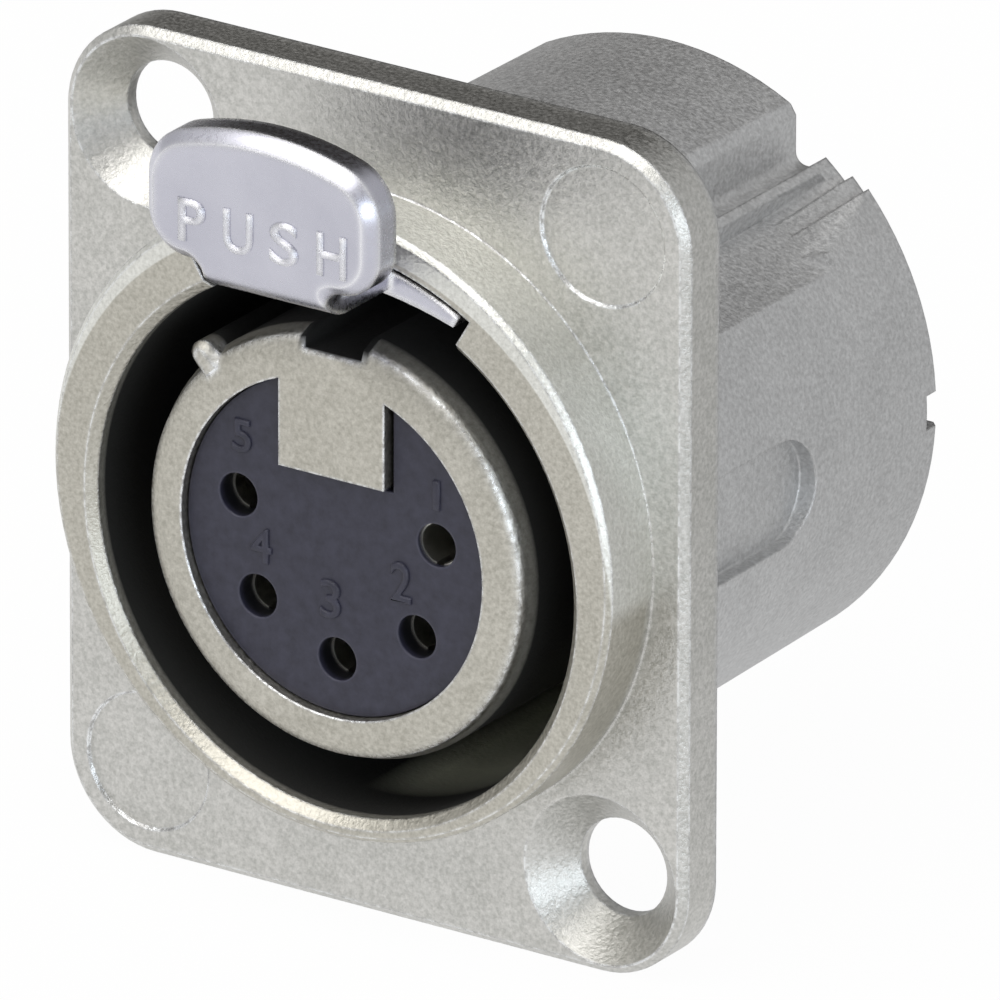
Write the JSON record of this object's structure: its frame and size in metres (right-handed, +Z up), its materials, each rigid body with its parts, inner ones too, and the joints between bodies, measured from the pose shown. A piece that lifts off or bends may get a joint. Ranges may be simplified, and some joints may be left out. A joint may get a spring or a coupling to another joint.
{
  "type": "xlr panel socket",
  "caption": "Flanged metal panel socket for a round audio plug, with a front collar, keyed barrel, numbered contact holes, countersunk fixing holes and a rocking push latch.",
  "frame": {"origin": "middle of the flange on its back face, which is the middle of the two fixing holes", "axes": "+Y runs back through the panel, -Y points out of the socket's mouth, +X to the right seen from the front, +Z up towards the latch"},
  "size_m": [0.026, 0.0292, 0.0314],
  "materials": {
    "housing": "satin nickel plate on zinc casting",
    "latch": "bright nickel plate",
    "spring": "spring strip",
    "insert": "dark violet grey glass-filled plastic",
    "rear_insert": "black plastic",
    "contact": "silver plated brass"
  },
  "bodies": {
    "socket": {"housing": "housing", "latch_spring": "spring", "contact_insert": "insert", "rear_insert": "rear_insert", "ground_lug": "contact", "contact_1": "contact", "contact_2": "contact", "contact_3": "contact", "contact_4": "contact", "contact_5": "contact"},
    "latch_lever": {"latch": "latch"}
  },
  "joints": [
    {"name": "latch_rock", "type": "hinge", "parent": "socket", "child": "latch_lever", "pos_m": [0, -0.0015, 0.00872], "axis": [1, 0, 0], "range_deg": [0, 5.5], "stiffness_Nm_per_rad": 0.25, "springref_deg": -2.86, "deforming": ["latch_spring"]}
  ]
}
